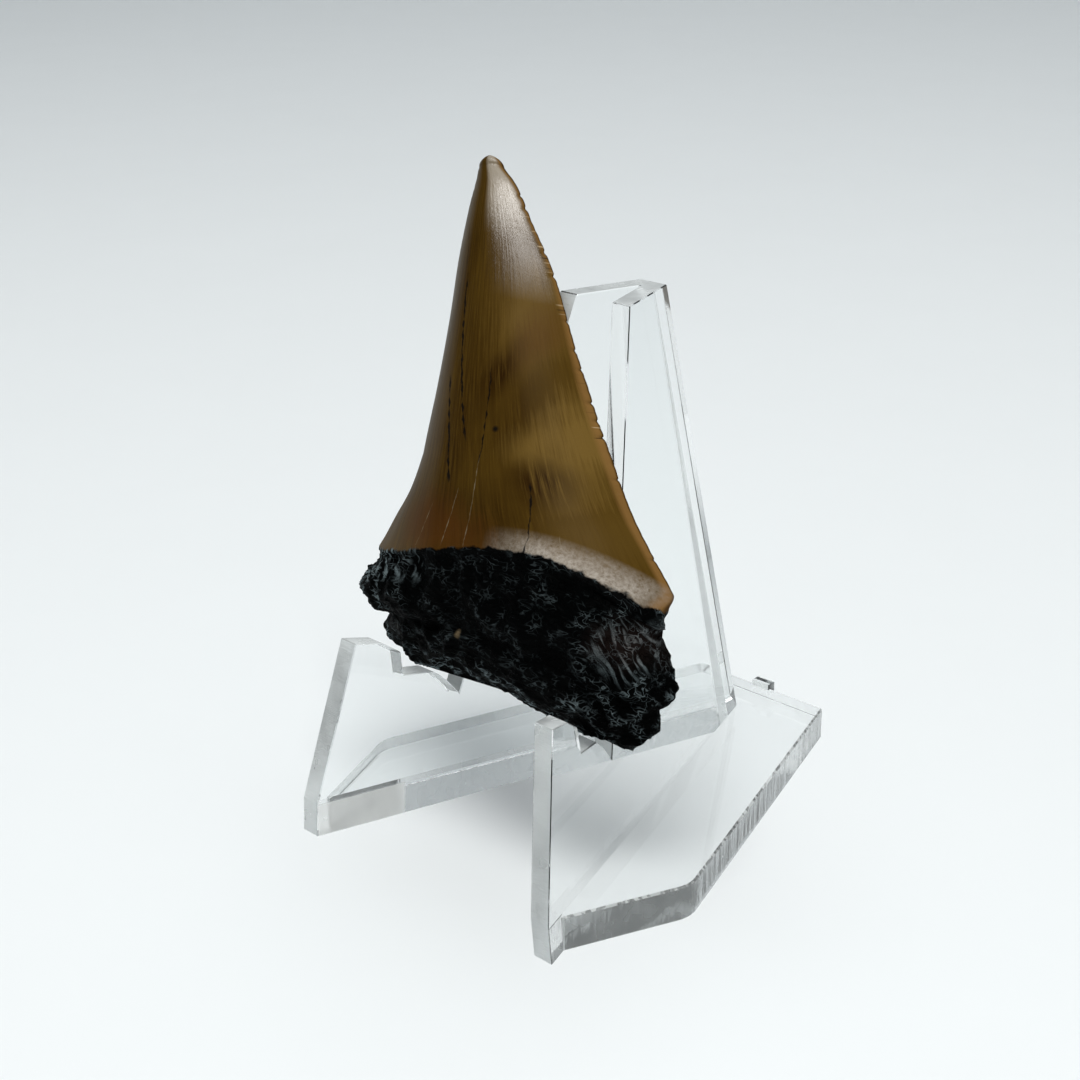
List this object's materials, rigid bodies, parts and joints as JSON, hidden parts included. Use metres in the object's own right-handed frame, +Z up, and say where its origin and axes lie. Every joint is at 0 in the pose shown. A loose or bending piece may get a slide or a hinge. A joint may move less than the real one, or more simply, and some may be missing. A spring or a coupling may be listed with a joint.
{
  "type": "fossil shark tooth on a display stand",
  "caption": "Fossil great white shark tooth with a glossy amber crown and a dark rough root, leaning back on a clear plastic V-shaped display stand.",
  "frame": {"origin": "bottom centre of the whole object's box, on the surface it stands on", "axes": "+Z up; the tooth's shown face and the stand's open side look along -Y; X runs across the two plates"},
  "size_m": [0.0506, 0.061, 0.076],
  "materials": {
    "tooth": "polished brown enamel crown over a matt black mineralised root",
    "clear_plastic": "clear, polished faces with sawn edges"
  },
  "bodies": {
    "root": {"tooth": "tooth", "display_stand": "clear_plastic"}
  },
  "joints": []
}
